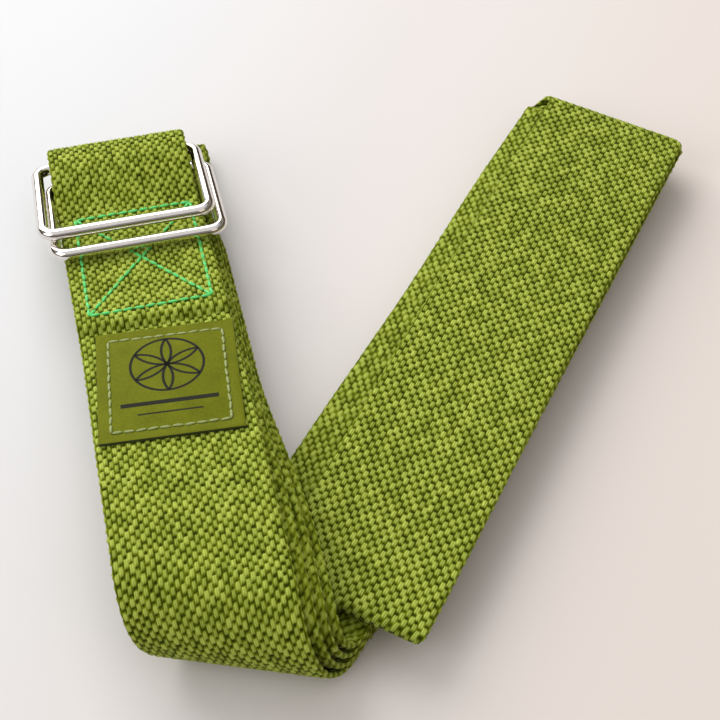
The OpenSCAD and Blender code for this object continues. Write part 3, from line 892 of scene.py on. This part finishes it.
class STRAP_OT_label(bpy.types.Operator):
    """The label patch with its seam groove and its printed rosette"""

    bl_idname = "strap.label"
    bl_label = "Label"

    def execute(self, context):
        w, trim, looks = settings()
        lay = Layout(w, trim)
        place = on_strap(lay, lay.label_s, 3 * lay.p + lay.t / 2 - 0.04, trim.label_turn)
        wide, long, thick = (v * MM for v in (trim.label_width, trim.label_length, trim.label_thickness))
        clear()
        bpy.ops.mesh.primitive_cube_add(size=1, location=(0, 0, thick / 2))
        label = added("label_face")
        label.scale = (wide, long, thick)
        bpy.ops.object.transform_apply(location=True, rotation=False, scale=True)
        bpy.ops.object.mode_set(mode="EDIT")
        bpy.ops.mesh.select_all(action="SELECT")
        bpy.ops.mesh.bevel(offset=0.00022, segments=2, affect="EDGES")
        bpy.ops.mesh.select_all(action="DESELECT")
        self.pick(label, lambda n: n.z > 0.99)
        # A low lip round the edge, a flat border, then the groove that the seam lies in.
        margin = trim.label_margin * MM
        bpy.ops.mesh.inset(thickness=0.0006, depth=0.00003)
        bpy.ops.mesh.inset(thickness=margin - 0.0017)
        bpy.ops.mesh.inset(thickness=0.0005, depth=-0.00014)
        bpy.ops.mesh.inset(thickness=0.0005)
        bpy.ops.mesh.inset(thickness=0.0005, depth=0.00018)
        bpy.ops.object.mode_set(mode="OBJECT")
        label.data.materials.append(leather_finish(looks))
        label.data.materials.append(plain_finish("label cut edge", looks.label_edge, 0.7))
        for face in label.data.polygons:
            face.material_index = int(abs(face.normal.z) < 0.6)
        bpy.ops.object.shade_smooth_by_angle(angle=math.radians(40))
        seated(label, place)
        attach(label, "webbing")
        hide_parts("label_patch")
        printed = self.motif(thick + 0.00004, looks)
        seated(printed, place)
        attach(printed, "webbing")
        return {"FINISHED"}

    def pick(self, obj, wanted):
        """Selects the faces whose normal is wanted."""
        bpy.ops.object.mode_set(mode="OBJECT")
        for face in obj.data.polygons:
            face.select = bool(wanted(face.normal))
        bpy.ops.object.mode_set(mode="EDIT")
        bpy.ops.mesh.select_mode(type="FACE")

    def line(self, name, start, centre, angle, width, thick):
        """A thin printed line: a small bar spun about centre."""
        clear()
        bpy.ops.mesh.primitive_plane_add(size=1, location=start, rotation=(math.pi / 2, 0, 0))
        bar = added(name)
        bar.scale = (width, thick, 1)
        bpy.ops.object.transform_apply(location=True, rotation=True, scale=True)
        bpy.ops.object.mode_set(mode="EDIT")
        bpy.ops.mesh.select_all(action="SELECT")
        steps = max(8, round(abs(angle) / math.radians(6)))
        bpy.ops.mesh.spin(steps=steps, angle=-angle, center=centre, axis=(0, 0, 1))
        bpy.ops.mesh.select_all(action="SELECT")
        bpy.ops.mesh.remove_doubles(threshold=0.00001)
        bpy.ops.mesh.normals_make_consistent(inside=False)
        bpy.ops.object.mode_set(mode="OBJECT")
        return bar

    def motif(self, z, looks):
        """A six-petalled rosette in a ring over two plain rules, in dark print."""
        r, up, wide, thick = 0.0086, 0.0050, 0.00064, 0.00010
        sweep = math.radians(120)
        parts = [self.line("ring", (r, up, z), (0, up, z), 2 * math.pi, wide, thick)]
        for i in range(6):
            angle = math.radians(60 * i + 30)
            centre = Vector((r * math.cos(angle), up + r * math.sin(angle), z))
            outward = Vector((r * math.cos(angle), r * math.sin(angle), 0))
            begin = Matrix.Rotation(sweep, 4, "Z") @ outward
            arc = self.line("petal", (centre.x + r, centre.y, z), tuple(centre), sweep, wide, thick)
            turn = math.atan2(begin.y, begin.x)
            spin = Matrix.Translation(centre) @ Matrix.Rotation(turn, 4, "Z") @ Matrix.Translation(-centre)
            arc.data.transform(spin)
            parts.append(arc)
        for length, y, deep in ((0.0225, -0.0072, 0.0013), (0.0150, -0.0105, 0.0005)):
            clear()
            bpy.ops.mesh.primitive_cube_add(size=1, location=(0, y, z))
            bar = added("rule")
            bar.scale = (length, deep, thick)
            bpy.ops.object.transform_apply(location=True, rotation=False, scale=True)
            bpy.ops.object.mode_set(mode="EDIT")
            bpy.ops.mesh.select_all(action="SELECT")
            bpy.ops.mesh.bevel(offset=0.00003, segments=1, affect="EDGES")
            bpy.ops.object.mode_set(mode="OBJECT")
            parts.append(bar)
        printed = joined("label_print", parts)
        printed.data.materials.append(plain_finish("label print", looks.print_ink, 0.95))
        return printed


class STRAP_OT_stitches(bpy.types.Operator):
    """Every stitch of the label's seam and of the loop's crossed box"""

    bl_idname = "strap.stitches"
    bl_label = "Stitches"

    def execute(self, context):
        w, trim, looks = settings()
        lay = Layout(w, trim)
        x, y = trim.label_width / 2 - trim.label_margin, trim.label_length / 2 - trim.label_margin
        on_label = 3 * lay.p + lay.t / 2 + trim.label_thickness + 0.02
        place = on_strap(lay, lay.label_s, on_label, trim.label_turn)
        lines = [((-x, y), (x, y)), ((x, y), (x, -y)), ((x, -y), (-x, -y)), ((-x, -y), (-x, y))]
        seam = self.sewn("label_seam", lines, trim.stitch * 0.98, 0.36, 0.30, place, 21)
        seam.data.materials.append(thread_finish("label thread", looks.label_thread))
        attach(seam, "webbing")
        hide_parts("label_stitching")
        x, y = trim.box_width / 2, trim.box_length / 2
        middle = (lay.box_near + lay.box_far) / 2
        place = on_strap(lay, middle, 4 * lay.p + lay.t / 2 - 0.05)
        far = y + trim.box_climb
        lines = [((-x, far), (x, far)), ((x, far), (x, -y)), ((x, -y), (-x, -y)), ((-x, -y), (-x, far)),
                 ((-x, -y), (x, far)), ((-x, far), (x, -y))]
        box = self.sewn("loop_seam", lines, trim.stitch, 0.44, 0.36, place, 22,
                        lambda v: float(lay.top_layer(middle + v) - lay.top_layer(middle)))
        box.data.materials.append(thread_finish("loop thread", looks.thread))
        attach(box, "webbing")
        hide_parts("loop_stitching")
        return {"FINISHED"}

    def sewn(self, name, lines, pitch, wide, high, place, seed, lift=lambda v: 0.0):
        """Stitches laid end to end along lines, each a copy of one pulled-down thread."""
        rng = random.Random(seed)
        clear()
        bpy.ops.mesh.primitive_uv_sphere_add(segments=10, ring_count=9, radius=1,
                                             rotation=(0, math.pi / 2, 0))
        first = added("stitch")
        bpy.ops.object.transform_apply(location=True, rotation=True, scale=True)
        for v in first.data.vertices:
            v.co.y *= 0.78 + 0.22 * math.sqrt(max(0.0, 1 - v.co.x ** 4)) if abs(v.co.x) < 1 else 1
        bpy.ops.object.shade_smooth()
        copies = []
        for a, b in lines:
            a, b = Vector((*a, 0)), Vector((*b, 0))
            run = b - a
            count = max(2, round(run.length / pitch))
            angle = math.atan2(run.y, run.x)
            for i in range(count):
                at = a + run * ((i + 0.5) / count)
                aside = rng.uniform(-STITCH_STRAY, STITCH_STRAY), rng.uniform(-STITCH_STRAY, STITCH_STRAY)
                at += Vector((*aside, rng.uniform(-STITCH_RISE, STITCH_RISE) + lift(at.y)))
                turn = angle + math.radians(rng.uniform(-4, 7))
                stitch = first.copy()
                stitch.data = first.data.copy()
                bpy.context.collection.objects.link(stitch)
                body = Matrix.Diagonal((run.length / count * 0.47, wide, high, 1))
                full = Matrix.Translation(at) @ Matrix.Rotation(turn, 4, "Z") @ body
                stitch.data.transform(Matrix.Scale(MM, 4) @ full)
                copies.append(stitch)
        bpy.data.objects.remove(first)
        sewn = joined(name, copies)
        return seated(sewn, place)


class STRAP_PT_panel(bpy.types.Panel):
    """Lists the strap's sizes and the steps that build it"""

    bl_idname = "STRAP_PT_panel"
    bl_label = "Stretching Strap"
    bl_space_type = "VIEW_3D"
    bl_region_type = "UI"
    bl_category = "Strap"

    def draw(self, context):
        for step in STEPS:
            self.layout.operator(step.bl_idname)
        for group in settings():
            box = self.layout.box()
            for key in group.__annotations__:
                box.prop(group, key)


STEPS = (STRAP_OT_stage, STRAP_OT_webbing, STRAP_OT_rings, STRAP_OT_label, STRAP_OT_stitches)
GROUPS = {"strap_webbing": StrapWebbing, "strap_trim": StrapTrim, "strap_looks": StrapLooks}


def register():
    for group in GROUPS.values():
        bpy.utils.register_class(group)
    for step in STEPS + (STRAP_PT_panel,):
        bpy.utils.register_class(step)
    for name, group in GROUPS.items():
        setattr(bpy.types.Scene, name, PointerProperty(type=group))


def unregister():
    for name in GROUPS:
        delattr(bpy.types.Scene, name)
    for step in (STRAP_PT_panel,) + STEPS[::-1]:
        bpy.utils.unregister_class(step)
    for group in GROUPS.values():
        bpy.utils.unregister_class(group)


def main():
    register()
    bpy.ops.strap.stage()
    bpy.ops.strap.webbing()
    bpy.ops.strap.rings()
    bpy.ops.strap.label()
    bpy.ops.strap.stitches()


if __name__ == "__main__":
    main()
